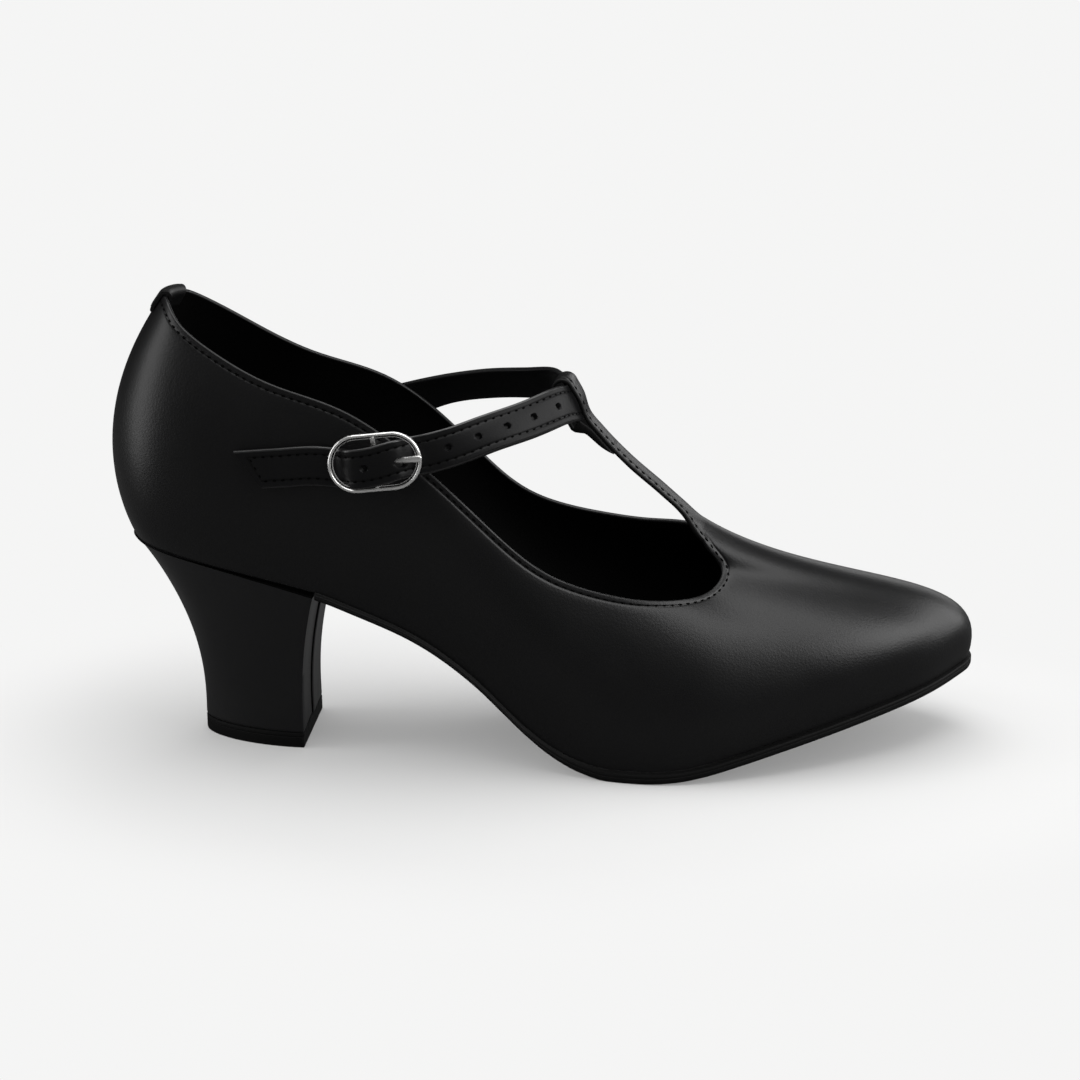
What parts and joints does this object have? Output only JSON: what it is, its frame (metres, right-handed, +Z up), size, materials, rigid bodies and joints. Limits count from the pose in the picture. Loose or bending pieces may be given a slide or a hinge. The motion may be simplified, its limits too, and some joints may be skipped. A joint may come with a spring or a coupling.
{
  "type": "character shoe",
  "caption": "Right character dance shoe with a pointed closed toe, T-strap under a buckled ankle strap, hollow upper and curved covered heel.",
  "frame": {"origin": "on the floor, below the centre of the shoe's bounding box", "axes": "+X toward the toe, -Y toward the outer side of the foot with the buckle, +Z up"},
  "size_m": [0.2378, 0.0794, 0.1249],
  "materials": {
    "upper_leather": "smooth black leather, soft shine",
    "strap_leather": "smooth black leather, stitched edges",
    "tab_leather": "smooth black leather",
    "nickel": "bright nickel plate",
    "prong_nickel": "bright nickel plate",
    "chape_leather": "black leather",
    "sole_leather": "matte, black edge",
    "sock_lining": "matte black lining",
    "heel_cover": "plastic core covered in black leather",
    "lift_rubber": "matte black rubber"
  },
  "bodies": {
    "root": {"upper": "upper_leather", "ankle_strap": "strap_leather", "back_tab": "tab_leather", "buckle_frame": "nickel", "buckle_prong": "prong_nickel", "buckle_chape": "chape_leather", "outsole": "sole_leather", "insole": "sock_lining", "heel_block": "heel_cover", "heel_top_piece": "lift_rubber"}
  },
  "joints": []
}
